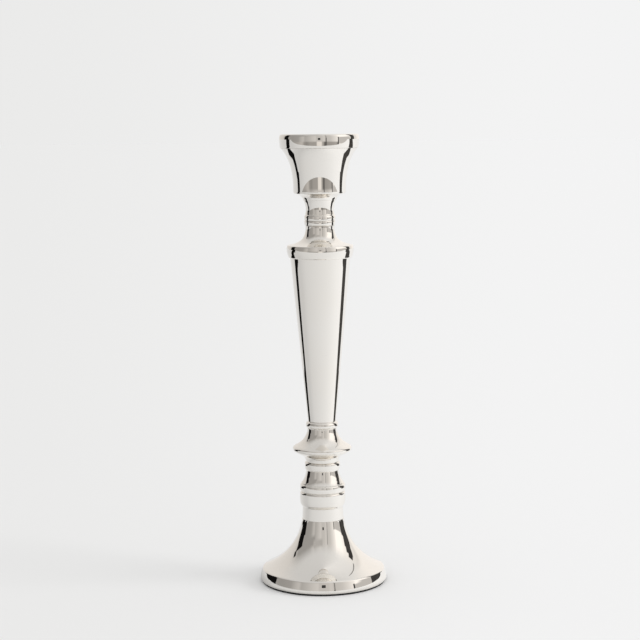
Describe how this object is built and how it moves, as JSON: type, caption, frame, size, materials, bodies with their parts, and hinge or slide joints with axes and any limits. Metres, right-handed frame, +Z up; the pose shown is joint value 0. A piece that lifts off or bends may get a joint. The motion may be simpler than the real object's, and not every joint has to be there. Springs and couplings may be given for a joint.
{
  "type": "candlestick",
  "caption": "Tall turned candlestick with a bell-shaped foot, a tapered column and a flared cup whose lift-out nozzle grips a taper candle.",
  "frame": {"origin": "centre of the felt's underside, where the stand rests on the table", "axes": "+Z up along the turning axis, from the foot to the cup; X and Y are equivalent, because the body is turned"},
  "size_m": [0.081, 0.081, 0.285],
  "materials": {
    "silver": "mirror-polished silver plate",
    "steel": "bright zinc-plated steel, slightly dulled",
    "iron": "rough sand-cast iron, painted black",
    "felt": "matt black wool felt"
  },
  "bodies": {
    "stand": {"felt_pad": "felt", "cover_plate": "steel", "foot_shell": "silver", "ballast_weight": "iron", "tie_rod": "steel", "clamp_washer": "steel", "spring_washer": "steel", "foot_nut": "steel", "cup_washer": "steel", "cup_nut": "steel", "barrel_collar": "silver", "collar_bead": "silver", "baluster": "silver", "check_ring": "silver", "knop_saucer": "silver", "knop_bell": "silver", "column_bead": "silver", "column": "silver", "column_foot_plug": "silver", "column_head_plug": "silver", "shoulder_cap": "silver", "neck_bead": "silver", "neck": "silver", "candle_cup": "silver", "rim_moulding": "silver"},
    "nozzle": {"nozzle": "silver"}
  },
  "joints": [
    {"name": "nozzle_lift", "type": "slide", "parent": "stand", "child": "nozzle", "axis": [0, 0, 1], "range_m": [0, 0.034]}
  ]
}
